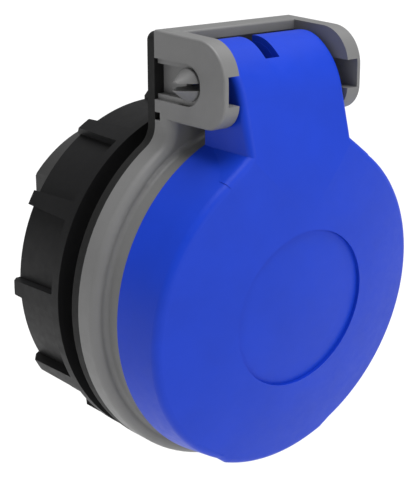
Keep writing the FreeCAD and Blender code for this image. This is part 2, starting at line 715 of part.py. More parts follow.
def lid_spring():
    """Torsion spring: a close coil round the pin, one leg back to the housing and one into the lid."""
    first = spring_coil_frames()[0][0]
    last = spring_coil_frames()[-1][0]
    frames = [(vec(first.x, leg_pocket_front(), first.z), vec(0, 0, -1), vec(1, 0, 0))]
    frames += spring_coil_frames()
    frames.append((vec(last.x, FLANGE_REAR - 0.6 * HINGE_WALL, last.z), vec(0, 0, -1), vec(1, 0, 0)))
    rings = []
    for middle, out, across in frames:
        ring_points = []
        for side in range(SPRING_SIDES):
            a = 2.0 * math.pi * side / SPRING_SIDES
            ring_points.append(middle + (out * math.cos(a) + across * math.sin(a)) * SPRING_WIRE_R)
        rings.append(ring_points)
    faces = [Part.Face(Part.makePolygon(end + end[:1])) for end in (rings[0], rings[-1])]
    for near, far in zip(rings, rings[1:]):
        for side in range(SPRING_SIDES):
            after = (side + 1) % SPRING_SIDES
            corners = (near[side], near[after], far[after], far[side])
            for triangle in ((0, 1, 2), (0, 2, 3)):
                points = [corners[i] for i in triangle]
                faces.append(Part.Face(Part.makePolygon(points + points[:1])))
    return Part.makeSolid(Part.makeShell(faces))


def socket_insert():
    flange = disc(SEAT_R - INSERT_CLEAR, RIM_FRONT, LEDGE)
    body = flange.fuse(disc(BORE_R - INSERT_CLEAR, RIM_FRONT, INSERT_REAR))
    body = body.cut(disc(WELL_R, RIM_FRONT - OVER, WELL_FLOOR))
    guide = box(
        WELL_R - GUIDE_HEIGHT, WELL_R + 0.5, RIM_FRONT + GUIDE_SETBACK, WELL_FLOOR, -GUIDE_HALF, GUIDE_HALF
    )
    body = body.fuse(both_sides(guide))
    half = 0.5 * STRAP_W + 5.0 * FIT_CLEAR
    slot = box(
        -half, half, RIM_FRONT + STRAP_TIP_SETBACK - OVER, INSERT_REAR + OVER,
        STRAP_BUMP_Z - 2.0 * STRAP_T, BORE_R + OVER
    )
    cuts = [slot, slot.mirror(vec(0, 0, 0), vec(0, 0, 1))]
    for x in (-0.5 * PIN_SPACING, 0.5 * PIN_SPACING):
        pocket = SLEEVE_FRONT - FIT_CLEAR
        cuts.append(cone(PIN_HOLE_R + PIN_HOLE_LEAD, PIN_HOLE_R, WELL_FLOOR, pocket, x))
        cuts.append(disc(SLEEVE_R + RING_T + FIT_CLEAR, pocket, INSERT_REAR + OVER, x))
    for sign in (-1, 1):
        cuts.append(disc(
            CARRIER_R + THREAD_CLEAR, WELL_FLOOR + CARRIER_FLOOR, INSERT_REAR + OVER,
            -sign * CARRIER_X, sign * CARRIER_Z
        ))
    return body.cut(cuts[0].fuse(cuts[1:])).removeSplitter()


def contact_sleeve(x):
    body = ring(SLEEVE_R, SLEEVE_BORE_R, SLEEVE_FRONT, SLEEVE_REAR, x)
    slot = box(
        x - SLEEVE_R - OVER, x + SLEEVE_R + OVER, SLEEVE_FRONT - OVER, SLEEVE_FRONT + SLEEVE_SLOT_LEN,
        -0.5 * SLEEVE_SLOT, 0.5 * SLEEVE_SLOT
    )
    return body.cut(slot)


def contact_ring(x):
    body = ring(SLEEVE_R + RING_T, SLEEVE_R, RING_FRONT, RING_FRONT + RING_LEN, x)
    return body.cut(box(
        x - 0.5 * RING_SLIT, x + 0.5 * RING_SLIT, RING_FRONT - OVER, RING_FRONT + RING_LEN + OVER,
        0.0, SLEEVE_R + RING_T + OVER
    ))


def side_terminal(x):
    """Brass terminal under a sleeve, with its wire hole from behind and its screw hole from the side."""
    low = TERMINAL_TOP - TERMINAL_H
    z = 0.5 * (-SLEEVE_R + low)
    half = 0.5 * TERMINAL_W
    body = box(x - half, x + half, TERMINAL_REAR - TERMINAL_LEN, TERMINAL_REAR, low, TERMINAL_TOP)
    saddle = disc(SLEEVE_R, TERMINAL_REAR - TERMINAL_LEN - OVER, TERMINAL_REAR + OVER, x)
    wire = disc(WIRE_R, TERMINAL_REAR - WIRE_DEPTH, TERMINAL_REAR + OVER, x, z)
    side = x + math.copysign(TERMINAL_W, x)
    screw = rod(CLAMP_R + THREAD_CLEAR, min(x, side), max(x, side), CLAMP_Y, z)
    return body.cut(saddle.fuse([wire, screw])), z


def clamp_screw(reach):
    """Slotted terminal screw that points down from the origin of its seat, head on top."""
    body = post(CLAMP_R, -reach, 0.0, 0.0, 0.0).fuse(post(CLAMP_HEAD_R, 0.0, CLAMP_HEAD_T, 0.0, 0.0))
    slot = box(
        -CLAMP_HEAD_R - OVER, CLAMP_HEAD_R + OVER, -0.5 * CLAMP_SLOT_W, 0.5 * CLAMP_SLOT_W,
        CLAMP_HEAD_T - CLAMP_SLOT_DEPTH, CLAMP_HEAD_T + OVER
    )
    return body.cut(slot)


def side_screw(x):
    z = side_terminal(x)[1]
    screw = clamp_screw(0.5 * TERMINAL_W + CLAMP_STANDOFF - WIRE_R - CLAMP_BACK_OFF)
    screw.rotate(vec(0, 0, 0), vec(0, 1, 0), math.copysign(90, x))
    screw.translate(vec(x + math.copysign(0.5 * TERMINAL_W + CLAMP_STANDOFF, x), CLAMP_Y, z))
    return screw


def strip(points, thickness):
    """Outline points of a bent strip, from its middle line, with mitred corners."""
    left = []
    right = []
    for index, (y, z) in enumerate(points):
        ahead = points[min(index + 1, len(points) - 1)]
        behind = points[max(index - 1, 0)]
        turns = []
        for p, q in ((behind, (y, z)), ((y, z), ahead)):
            length = math.hypot(q[0] - p[0], q[1] - p[1])
            if length > 0:
                turns.append(((p[1] - q[1]) / length, (q[0] - p[0]) / length))
        nx = sum(t[0] for t in turns) / len(turns)
        nz = sum(t[1] for t in turns) / len(turns)
        scale = 0.5 * thickness / (nx * nx + nz * nz)
        left.append((y + nx * scale, z + nz * scale))
        right.append((y - nx * scale, z - nz * scale))
    return left + right[::-1]


def earth_strap():
    back = STRAP_FRONT + 0.5 * STRAP_T
    arm = [
        (RIM_FRONT + STRAP_TIP_SETBACK, STRAP_TIP_Z),
        (RIM_FRONT + STRAP_BUMP_SETBACK, STRAP_BUMP_Z + 0.5 * STRAP_T),
        (RIM_FRONT + STRAP_KNEE_SETBACK, STRAP_ARM_Z),
        (back, STRAP_ARM_Z),
    ]
    middle = arm + [(y, -z) for y, z in reversed(arm)]
    return side_polygon(strip(middle, STRAP_T), -0.5 * STRAP_W, 0.5 * STRAP_W)


def earth_terminal():
    half = 0.5 * TERMINAL_W
    z0 = EARTH_TERMINAL_Z - 0.5 * EARTH_TERMINAL_H
    z1 = EARTH_TERMINAL_Z + 0.5 * EARTH_TERMINAL_H
    body = box(-half, half, STRAP_REAR, TERMINAL_REAR, z0, z1)
    wire = disc(WIRE_R, TERMINAL_REAR - WIRE_DEPTH, TERMINAL_REAR + OVER, 0.0, EARTH_TERMINAL_Z)
    return body.cut(wire.fuse(post(CLAMP_R + THREAD_CLEAR, z0 - OVER, EARTH_TERMINAL_Z, 0.0, CLAMP_Y)))


def earth_screw():
    standoff = EARTH_STANDOFF
    seat = EARTH_TERMINAL_Z - 0.5 * EARTH_TERMINAL_H - standoff
    screw = clamp_screw(0.5 * EARTH_TERMINAL_H + standoff - WIRE_R - CLAMP_BACK_OFF)
    screw.rotate(vec(0, 0, 0), vec(1, 0, 0), 180)
    screw.translate(vec(0, CLAMP_Y, seat))
    return screw


def wire_entry(x, z):
    """Square opening through the block's rear wall, behind a wire hole."""
    half = WIRE_R + WIRE_ENTRY_GAP
    return box(x - half, x + half, TERMINAL_REAR, BLOCK_REAR + OVER, z - half, z + half)


def terminal_block():
    """Block behind the insert, with a chamber for each terminal, open to the front and at its screw."""
    front = INSERT_REAR + BLOCK_SEAT_GAP
    body = disc(BORE_R - INSERT_CLEAR, front, BLOCK_SEAT + OVER)
    cap = disc(BLOCK_R, BLOCK_SEAT, BLOCK_REAR - BLOCK_CHAMFER)
    cap = cap.fuse(cone(BLOCK_R, BLOCK_R - BLOCK_CHAMFER, BLOCK_REAR - BLOCK_CHAMFER, BLOCK_REAR))
    cap = cap.common(box(-BLOCK_FLAT, BLOCK_FLAT, BLOCK_SEAT, BLOCK_REAR, -BLOCK_R, BLOCK_R))
    body = body.fuse(cap)
    cuts = []
    half = 0.5 * TERMINAL_W + FIT_CLEAR
    rear = TERMINAL_REAR + FIT_CLEAR
    door = CLAMP_Y - CLAMP_HEAD_R - FIT_CLEAR
    low = TERMINAL_TOP - TERMINAL_H - FIT_CLEAR
    ring_end = RING_FRONT + RING_LEN + FIT_CLEAR
    for x in (-0.5 * PIN_SPACING, 0.5 * PIN_SPACING):
        z = side_terminal(x)[1]
        side = math.copysign(BLOCK_R, x)
        cuts.append(disc(SLEEVE_R + RING_T + FIT_CLEAR, front - OVER, ring_end, x))
        cuts.append(disc(SLEEVE_R + FIT_CLEAR, front - OVER, SLEEVE_REAR + FIT_CLEAR, x))
        cuts.append(box(x - half, x + half, front - OVER, rear, low, TERMINAL_TOP + FIT_CLEAR))
        cuts.append(box(min(x, side), max(x, side), door, rear, low, TERMINAL_TOP + FIT_CLEAR))
        cuts.append(wire_entry(x, z))
    z0 = EARTH_TERMINAL_Z - 0.5 * EARTH_TERMINAL_H - FIT_CLEAR
    z1 = EARTH_TERMINAL_Z + 0.5 * EARTH_TERMINAL_H + FIT_CLEAR
    cuts.append(box(-half, half, front - OVER, rear, z0, z1))
    cuts.append(box(-half, half, door, rear, -BLOCK_R - OVER, z1))
    cuts.append(wire_entry(0.0, EARTH_TERMINAL_Z))
    groove = 0.5 * STRAP_W + FIT_CLEAR
    cuts.append(box(-groove, groove, front - OVER, STRAP_REAR, -BORE_R, BORE_R))
    for sign in (-1, 1):
        x = -sign * CARRIER_X
        z = sign * CARRIER_Z
        cuts.append(disc(CARRIER_R + FIT_CLEAR, front - OVER, BLOCK_REAR + OVER, x, z))
    return body.cut(cuts[0].fuse(cuts[1:])).removeSplitter()


def carrier_screw(sign):
    """Long slotted screw from the block's rear into the insert; sign 1 is the upper left one."""
    x = -sign * CARRIER_X
    z = sign * CARRIER_Z
    seat = BLOCK_REAR
    body = disc(CARRIER_R, WELL_FLOOR + CARRIER_FLOOR + FIT_CLEAR, seat, x, z)
    body = body.fuse(disc(CARRIER_HEAD_R, seat, seat + CARRIER_HEAD_T, x, z))
    return body.cut(box(
        x - 0.5 * CLAMP_SLOT_W, x + 0.5 * CLAMP_SLOT_W,
        seat + CARRIER_HEAD_T - CLAMP_SLOT_DEPTH, seat + CARRIER_HEAD_T + OVER,
        z - CARRIER_HEAD_R - OVER, z + CARRIER_HEAD_R + OVER
    ))


def parts():
    left = -0.5 * PIN_SPACING
    right = 0.5 * PIN_SPACING
    return {
        "front_housing": front_housing(),
        "flange_gasket": flange_gasket(),
        "lock_nut": lock_nut(),
        "lid": lid(),
        "lid_gasket": lid_gasket(),
        "hinge_pin": hinge_pin(),
        "lid_spring": lid_spring(),
        "socket_insert": socket_insert(),
        "line_contact": contact_sleeve(left),
        "neutral_contact": contact_sleeve(right),
        "line_contact_ring": contact_ring(left),
        "neutral_contact_ring": contact_ring(right),
        "line_terminal": side_terminal(left)[0],
        "neutral_terminal": side_terminal(right)[0],
        "line_screw": side_screw(left),
        "neutral_screw": side_screw(right),
        "earth_strap": earth_strap(),
        "earth_terminal": earth_terminal(),
        "earth_screw": earth_screw(),
        "terminal_block": terminal_block(),
        "carrier_screw_upper": carrier_screw(1),
        "carrier_screw_lower": carrier_screw(-1),
    }


def main():
    os.makedirs("parts", exist_ok=True)
    for name, shape in parts().items():
        solids = shape.Solids
        solid = solids[0] if len(solids) == 1 else Part.makeCompound(solids)
        solid.exportStep(f"parts/{name}.step")
        b = solid.BoundBox
        print(f"{name}: {len(solids)} solid, valid {solid.isValid()}, {solid.Volume:.1f} mm3,"
              f" x {b.XMin:.1f}..{b.XMax:.1f}, y {b.YMin:.1f}..{b.YMax:.1f}, z {b.ZMin:.1f}..{b.ZMax:.1f}")


main()
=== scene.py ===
"""Looks of a round panel mounted power socket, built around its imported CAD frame."""

import json
import logging
import math
from dataclasses import dataclass, field
from enum import Enum

import bmesh
import bpy
from mathutils import Matrix, Vector


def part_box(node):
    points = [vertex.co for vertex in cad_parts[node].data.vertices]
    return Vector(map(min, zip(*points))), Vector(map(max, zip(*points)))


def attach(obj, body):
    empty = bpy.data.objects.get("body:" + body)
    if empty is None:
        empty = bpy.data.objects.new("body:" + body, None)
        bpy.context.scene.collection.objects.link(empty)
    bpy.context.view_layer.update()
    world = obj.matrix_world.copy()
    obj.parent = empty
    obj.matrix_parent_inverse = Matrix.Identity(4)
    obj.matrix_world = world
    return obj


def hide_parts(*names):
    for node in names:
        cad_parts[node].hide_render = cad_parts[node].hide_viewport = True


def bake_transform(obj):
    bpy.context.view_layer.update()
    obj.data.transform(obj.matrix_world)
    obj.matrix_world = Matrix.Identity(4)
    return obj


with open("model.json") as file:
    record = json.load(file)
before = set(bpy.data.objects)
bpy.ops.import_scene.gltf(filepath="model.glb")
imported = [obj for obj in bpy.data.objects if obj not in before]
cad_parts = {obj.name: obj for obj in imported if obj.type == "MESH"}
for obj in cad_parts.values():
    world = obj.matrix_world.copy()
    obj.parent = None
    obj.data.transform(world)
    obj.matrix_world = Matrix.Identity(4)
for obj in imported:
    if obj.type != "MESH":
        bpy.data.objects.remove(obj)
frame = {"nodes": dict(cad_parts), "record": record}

log = logging.getLogger("socket")
Colour = tuple[float, float, float]
Shell = tuple[list[Vector], list[tuple[int, ...]]]

MM = 0.001
LID_HINGE = next(joint for joint in frame["record"]["behaviour"]["joints"] if joint["name"] == "lid_hinge")
HINGE_Y, HINGE_Z = (round(place / MM, 3) for place in LID_HINGE["pos_m"][1:])
BAR_TOP_Z = round(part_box("front_housing")[1].z / MM, 3)
NOISE_LOW = 0.3
NOISE_HIGH = 0.7
NOISE_ROUGHNESS = 0.55


class Grain(Enum):
    """Surface texture of a moulded or rubber piece: size of its bumps and their depth, in mm."""

    SATIN = (0.16, 0.006)
    SPARK = (0.35, 0.018)
    RUBBER = (0.5, 0.02)


class Metal(Enum):
    """Metals in the socket: colour and roughness."""

    BRASS = ((0.69, 0.48, 0.17), 0.32)
    SPRING_STEEL = ((0.42, 0.43, 0.45), 0.28)
    ZINC = ((0.56, 0.57, 0.58), 0.38)


class Shader:
    """A material's node tree, with short calls to add nodes and links."""

    def __init__(self, name: str) -> None:
        """Make an empty material.

        Args:
            name: the material's name.
        """
        self.material = bpy.data.materials.new(name)
        self.material.use_nodes = True
        self.tree = self.material.node_tree
        self.bsdf = self.tree.nodes["Principled BSDF"]
        coords = self.tree.nodes.new("ShaderNodeTexCoord")
        self.place = coords.outputs["Object"]

    def add(self, kind: str, **inputs: object) -> bpy.types.Node:
        """Add a node.

        Args:
            kind: the node's type.
            inputs: values or sockets for inputs by name; an underscore stands for a space.

        Returns:
            The new node.
        """
        node = self.tree.nodes.new(kind)
        for key, value in inputs.items():
            self.put(node.inputs[key.replace("_", " ")], value)
        return node

    def put(self, socket: bpy.types.NodeSocket, value: object) -> None:
        """Set an input to a constant, or link a socket to it.

        Args:
            socket: the input.
            value: a constant or an output socket.
        """
        if isinstance(value, bpy.types.NodeSocket):
            self.tree.links.new(value, socket)
        else:
            socket.default_value = value

    def math(self, operation: str, a: object, b: object = 0.0) -> bpy.types.NodeSocket:
        """Add a math node.

        Args:
            operation: the node's operation.
            a: first value or socket.
            b: second value or socket.

        Returns:
            The result's socket.
        """
        node = self.tree.nodes.new("ShaderNodeMath")
        node.operation = operation
        self.put(node.inputs[0], a)
        if len(node.inputs) > 1:
            self.put(node.inputs[1], b)
        return node.outputs[0]

    def noise(self, size: float, detail: float = 3.0, place: object = None) -> bpy.types.NodeSocket:
        """Add noise whose blobs are about size mm across.

        Args:
            size: blob size in mm.
            detail: levels of finer noise.
            place: coordinates, if not the object's own.

        Returns:
            The noise value's socket.
        """
        scale = 1.0 / (size * MM)
        node = self.add("ShaderNodeTexNoise", Scale=scale, Detail=detail, Roughness=NOISE_ROUGHNESS)
        self.put(node.inputs["Vector"], place or self.place)
        return node.outputs[0]

    def spread(self, value: object, low: float, high: float) -> bpy.types.NodeSocket:
        """Map a noise value from its usual range to another range.

        Args:
            value: the noise value's socket.
            low: result at NOISE_LOW.
            high: result at NOISE_HIGH.

        Returns:
            The mapped value's socket.
        """
        node = self.tree.nodes.new("ShaderNodeMapRange")
        self.put(node.inputs["Value"], value)
        node.inputs["From Min"].default_value = NOISE_LOW
        node.inputs["From Max"].default_value = NOISE_HIGH
        node.inputs["To Min"].default_value = low
        node.inputs["To Max"].default_value = high
        return node.outputs[0]

    def tint(self, colour: Colour, value: object, change: float) -> bpy.types.NodeSocket:
        """Vary a colour's brightness with a noise value.

        Args:
            colour: the middle colour.
            value: the noise value's socket.
            change: largest change, as a share of the colour.

        Returns:
            The colour's socket.
        """
        node = self.tree.nodes.new("ShaderNodeMix")
        node.data_type = "RGBA"
        self.put(node.inputs["Factor"], self.spread(value, 0.0, 1.0))
        low = [c * (1.0 - change) for c in colour] + [1.0]
        high = [min(1.0, c * (1.0 + change)) for c in colour] + [1.0]
        node.inputs["A"].default_value = low
        node.inputs["B"].default_value = high
        return node.outputs["Result"]

    def bump(self, height: object, depth: float, normal: object = None) -> bpy.types.NodeSocket:
        """Turn a height of 0 to 1 into a surface normal.

        Args:
            height: the height's socket.
            depth: depth of the full height in mm.
            normal: normal to add to.

        Returns:
            The normal's socket.
        """
        node = self.add("ShaderNodeBump", Strength=1.0, Distance=depth * MM)
        self.put(node.inputs["Height"], height)
        if normal is not None:
            self.put(node.inputs["Normal"], normal)
        return node.outputs[0]


@dataclass(frozen=True)
class BarrelThread:
    """Fine helical thread shown on a barrel along +Y."""

    pitch: float = 1.5
    depth: float = 0.45
    start: float = 0.4
    inner_r: float = 26.2
    outer_r: float = 26.9

    def normal(self, shader: Shader) -> bpy.types.NodeSocket:
        """Build the thread's normal.

        Args:
            shader: the shader to add it to.

        Returns:
            The normal's socket.
        """
        split = shader.add("ShaderNodeSeparateXYZ", Vector=shader.place)
        x, y, z = split.outputs
        turn = shader.math("DIVIDE", shader.math("ARCTAN2", x, z), 2.0 * math.pi)
        phase = shader.math("ADD", shader.math("DIVIDE", y, self.pitch * MM), turn)
        half_wave = shader.math("PINGPONG", phase, 0.5)
        height = shader.math("MULTIPLY", half_wave, 2.0)
        x_squared = shader.math("MULTIPLY", x, x)
        z_squared = shader.math("MULTIPLY", z, z)
        r = shader.math("SQRT", shader.math("ADD", x_squared, z_squared))
        above = shader.math("GREATER_THAN", r, self.inner_r * MM)
        below = shader.math("LESS_THAN", r, self.outer_r * MM)
        behind = shader.math("GREATER_THAN", y, self.start * MM)
        mask = shader.math("MULTIPLY", shader.math("MULTIPLY", above, below), behind)
        return shader.bump(shader.math("MULTIPLY", height, mask), self.depth)


@dataclass(frozen=True)
class MouldedPlastic:
    """Moulded plastic or rubber with a fine grain, faint mottling, an uneven sheen and a slight flow."""

    name: str
    colour: Colour
    roughness: float
    grain: Grain
    mottle: float = 0.05
    specular: float = 0.5
    thread: BarrelThread | None = None
    mottle_size: float = 9.0
    sheen_size: float = 1.6
    sheen_change: float = 0.05
    flow_size: float = 14.0
    flow_depth: float = 0.03

    def build(self) -> bpy.types.Material:
        """Build the material.

        Returns:
            The material.
        """
        shader = Shader(self.name)
        size, depth = self.grain.value
        cloud = shader.noise(self.mottle_size, detail=4.0)
        shader.put(shader.bsdf.inputs["Base Color"], shader.tint(self.colour, cloud, self.mottle))
        sheen = shader.noise(self.sheen_size, detail=3.0)
        shader.put(
            shader.bsdf.inputs["Roughness"],
            shader.spread(sheen, self.roughness - self.sheen_change, self.roughness + self.sheen_change),
        )
        shader.put(shader.bsdf.inputs["Specular IOR Level"], self.specular)
        start = self.thread.normal(shader) if self.thread else None
        grained = shader.bump(shader.noise(size, detail=2.0), depth, start)
        flowing = shader.bump(shader.noise(self.flow_size, detail=1.0), self.flow_depth, grained)
        shader.put(shader.bsdf.inputs["Normal"], flowing)
        return shader.material


@dataclass(frozen=True)
class DrawnMetal:
    """Metal with fine drawing lines and faint dull patches."""

    name: str
    metal: Metal
    line_axis: int = 1
    line_stretch: float = 0.06
    line_size: float = 0.12
    line_depth: float = 0.006
    patch_size: float = 2.5
    patch_tint: float = 0.14
    polish: float = 0.08
    dulling: float = 0.12

    def build(self) -> bpy.types.Material:
        """Build the material.

        Returns:
            The material.
        """
        shader = Shader(self.name)
        colour, roughness = self.metal.value
        mapping = shader.add("ShaderNodeMapping", Vector=shader.place)
        stretch = [1.0, 1.0, 1.0]
        stretch[self.line_axis] = self.line_stretch
        mapping.inputs["Scale"].default_value = stretch
        lines = shader.noise(self.line_size, detail=2.0, place=mapping.outputs[0])
        patches = shader.noise(self.patch_size, detail=4.0)
        shader.put(shader.bsdf.inputs["Base Color"], shader.tint(colour, patches, self.patch_tint))
        shader.put(shader.bsdf.inputs["Metallic"], 1.0)
        shader.put(
            shader.bsdf.inputs["Roughness"],
            shader.spread(patches, roughness - self.polish, roughness + self.dulling),
        )
        shader.put(shader.bsdf.inputs["Normal"], shader.bump(lines, self.line_depth))
        return shader.material


HOUSING_GREY = MouldedPlastic("housing_grey", (0.17, 0.17, 0.17), 0.5, Grain.SATIN, thread=BarrelThread())
LID_BLUE = MouldedPlastic("lid_blue", (0.006, 0.044, 0.52), 0.45, Grain.SATIN, specular=0.2)
GASKET_BLACK = MouldedPlastic(
    "gasket_black", (0.006, 0.006, 0.006), 0.7, Grain.RUBBER, mottle=0.15, specular=0.3
)
NUT_BLACK = MouldedPlastic(
    "nut_black", (0.0075, 0.0075, 0.008), 0.5, Grain.SATIN, mottle=0.1, specular=0.18
)
BLOCK_DARK = MouldedPlastic(
    "block_dark", (0.042, 0.042, 0.042), 0.5, Grain.SPARK, mottle=0.08, specular=0.2
)
INSERT_DARK = MouldedPlastic("insert_dark", (0.03, 0.031, 0.033), 0.48, Grain.SATIN, mottle=0.08)
BRASS = DrawnMetal("contact_brass", Metal.BRASS)
SPRING = DrawnMetal("spring_steel", Metal.SPRING_STEEL, line_axis=0)
SCREW = DrawnMetal("screw_zinc", Metal.ZINC)


def dress(node: str, material: bpy.types.Material) -> None:
    """Give a CAD node its finish.

    Args:
        node: the node's name.
        material: the finish.
    """
    slots = frame["nodes"][node].data.materials
    for index in range(len(slots)):
        slots[index] = material
    log.info("dressed %s", node)


def skin(loops: list[list[Vector]], hoop: bool = False) -> Shell:
    """Join closed loops of equally many points into one closed shell.

    Args:
        loops: the loops in order, in mm.
        hoop: whether the last loop joins the first, so that neither is capped.

    Returns:
        The shell's points and faces.
    """
    count = len(loops[0])
    points = [point for loop in loops for point in loop]
    starts = range(0, len(points), count)
    faces: list[tuple[int, ...]] = []
    for start in starts if hoop else starts[:-1]:
        after = (start + count) % len(points)
        for k in range(count):
            n = (k + 1) % count
            faces.append((start + k, start + n, after + n, after + k))
    if not hoop:
        faces.append(tuple(reversed(range(count))))
        faces.append(tuple(range(len(points) - count, len(points))))
    return points, faces


def make_piece(
    name: str, shells: list[Shell], material: bpy.types.Material, sharp_deg: float = 35.0
) -> bpy.types.Object:
    """Make one piece of closed shells, smooth except at its sharp edges.

    Args:
        name: the piece's name.
        shells: points in mm and faces of each shell.
        material: its finish.
        sharp_deg: angle from which an edge stays sharp.

    Returns:
        The piece.
    """
    points: list[tuple[float, ...]] = []
    faces: list[tuple[int, ...]] = []
    for shell_points, shell_faces in shells:
        first = len(points)
        points += [tuple(p * MM) for p in shell_points]
        faces += [tuple(first + i for i in face) for face in shell_faces]
    mesh = bpy.data.meshes.new(name)
    mesh.from_pydata(points, [], faces)
    work = bmesh.new()
    work.from_mesh(mesh)
    bmesh.ops.recalc_face_normals(work, faces=work.faces)
    work.to_mesh(mesh)
    work.free()
    mesh.polygons.foreach_set("use_smooth", [True] * len(mesh.polygons))
    mesh.set_sharp_from_angle(angle=math.radians(sharp_deg))
    mesh.materials.append(material)
    piece = bpy.data.objects.new(name, mesh)
    bpy.context.scene.collection.objects.link(piece)
    log.info("built %s", name)
    return piece


@dataclass
class PhotoCamera:
    """The camera fitted to the photograph, in mm, with the range that it sees in metres."""

    eye: tuple[float, float, float] = (-141.28, -165.0, 73.02)
    right: tuple[float, float, float] = (0.7638, -0.6455, 0.0)
    up: tuple[float, float, float] = (0.1888, 0.2234, 0.9564)
    back: tuple[float, float, float] = (-0.6173, -0.7304, 0.2925)
    lens: float = 97.2
    film_width: float = 36.0
    nearest_m: float = 0.005
    farthest_m: float = 20.0

    def build(self) -> None:
        """Make the camera and look through it."""
        data = bpy.data.cameras.new("photo_camera")
        camera = bpy.data.objects.new("photo_camera", data)
        bpy.context.scene.collection.objects.link(camera)
        turn = Matrix((self.right, self.up, self.back)).transposed().to_4x4()
        camera.matrix_world = Matrix.Translation(Vector(self.eye) * MM) @ turn
        data.lens = self.lens
        data.sensor_width = self.film_width
        data.clip_start = self.nearest_m
        data.clip_end = self.farthest_m
        bpy.context.scene.camera = camera


@dataclass
class SoftLight:
    """One broad soft light without falloff: where it comes from, its strength and its width."""

    name: str
    source: tuple[float, float, float]
    strength: float
    width_deg: float

    def build(self) -> None:
        """Make the light."""
        data = bpy.data.lights.new(self.name, "SUN")
        data.energy = self.strength
        data.angle = math.radians(self.width_deg)
        light = bpy.data.objects.new(self.name, data)
        bpy.context.scene.collection.objects.link(light)
        light.rotation_mode = "QUATERNION"
        light.rotation_quaternion = (-Vector(self.source)).to_track_quat("-Z", "Y")


@dataclass
class Studio:
    """Pale floor, even dim surroundings and broad soft lights."""

    floor_z: float = -170.0
    floor_half: float = 4000.0
    floor_colour: Colour = (0.78, 0.78, 0.78)
    floor_roughness: float = 0.9
    cloud_size: float = 60.0
    cloud_tint: float = 0.01
    world: float = 0.3
    lights: list[SoftLight] = field(
        default_factory=lambda: [
            SoftLight("top_light", (0.1, -0.1, 1.0), 3.3, 50.0),
            SoftLight("front_light", (0.25, -1.0, 0.35), 0.9, 50.0),
        ]
    )

    def build(self) -> None:
        """Make the floor, the lights and the world."""
        mesh = bpy.data.meshes.new("floor")
        half = self.floor_half * MM
        z = self.floor_z * MM
        corners = [(-half, -half, z), (half, -half, z), (half, half, z), (-half, half, z)]
        mesh.from_pydata(corners, [], [(0, 1, 2, 3)])
        floor = bpy.data.objects.new("floor", mesh)
        bpy.context.scene.collection.objects.link(floor)
        shader = Shader("floor_pale")
        cloud = shader.noise(self.cloud_size)
        shader.put(shader.bsdf.inputs["Base Color"], shader.tint(self.floor_colour, cloud, self.cloud_tint))
        shader.put(shader.bsdf.inputs["Roughness"], self.floor_roughness)
        mesh.materials.append(shader.material)
        for light in self.lights:
            light.build()
        world = bpy.data.worlds.new("studio")
        world.use_nodes = True
        background = world.node_tree.nodes["Background"]
        background.inputs["Color"].default_value = (1.0, 1.0, 1.0, 1.0)
        background.inputs["Strength"].default_value = self.world
        bpy.context.scene.world = world


def full_turn(count: int) -> list[float]:
    """Evenly spaced angles round a circle.

    Args:
        count: how many.

    Returns:
        The angles in radians, from zero.
    """
    return [2.0 * math.pi * k / count for k in range(count)]


def hinge_point(x: float, r: float, angle: float) -> Vector:
    """A point round the hinge's axis.

    Args:
        x: its place along the axis in mm.
        r: its distance from the axis in mm.
        angle: its angle, from the rear towards the top.

    Returns:
        The point in mm.
    """
    return Vector((x, HINGE_Y + r * math.cos(angle), HINGE_Z + r * math.sin(angle)))


@dataclass
class SpringCoil:
    """Torsion spring round the hinge pin, in mm, built in one fixed shape."""

    wire_r: float = 0.4
    coil_r: float = 3.15
    turns: int = 5
    pitch: float = 1.1
    first_x: float = 0.2
    lid_leg_y: float = -17.8
    wall_leg_y: float = -2.6
    steps: int = 30
    leg_steps: int = 8
    sides: int = 10

    def line(self) -> list[Vector]:
        """Points along the wire's middle, from the lid's leg to the housing's leg.

        Returns:
            The points in mm.
        """
        low = HINGE_Z - self.coil_r
        lid_leg_step = (HINGE_Y - self.lid_leg_y) / self.leg_steps
        wall_leg_step = (self.wall_leg_y - HINGE_Y) / self.leg_steps
        last_x = self.first_x + self.pitch * self.turns
        points: list[Vector] = []
        for i in range(self.leg_steps):
            points.append(Vector((self.first_x, self.lid_leg_y + i * lid_leg_step, low)))
        for i in range(self.turns * self.steps + 1):
            x = self.first_x + self.pitch * i / self.steps
            points.append(hinge_point(x, self.coil_r, 2.0 * math.pi * i / self.steps - 0.5 * math.pi))
        for i in range(1, self.leg_steps + 1):
            points.append(Vector((last_x, HINGE_Y + i * wall_leg_step, low)))
        return points

    def build(self, material: bpy.types.Material) -> None:
        """Make the spring in place of the CAD one.

        Args:
            material: its finish.
        """
        points = self.line()
        side = Vector((1.0, 0.0, 0.0))
        loops: list[list[Vector]] = []
        for i, p in enumerate(points):
            ahead = points[min(i + 1, len(points) - 1)] - points[max(i - 1, 0)]
            ahead.normalize()
            across = (side - ahead * side.dot(ahead)).normalized()
            other = ahead.cross(across)
            loops.append([
                p + (across * math.cos(a) + other * math.sin(a)) * self.wire_r for a in full_turn(self.sides)
            ])
        spring = make_piece("lid_spring_coil", [skin(loops)], material, sharp_deg=60.0)
        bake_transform(spring)
        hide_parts("lid_spring")


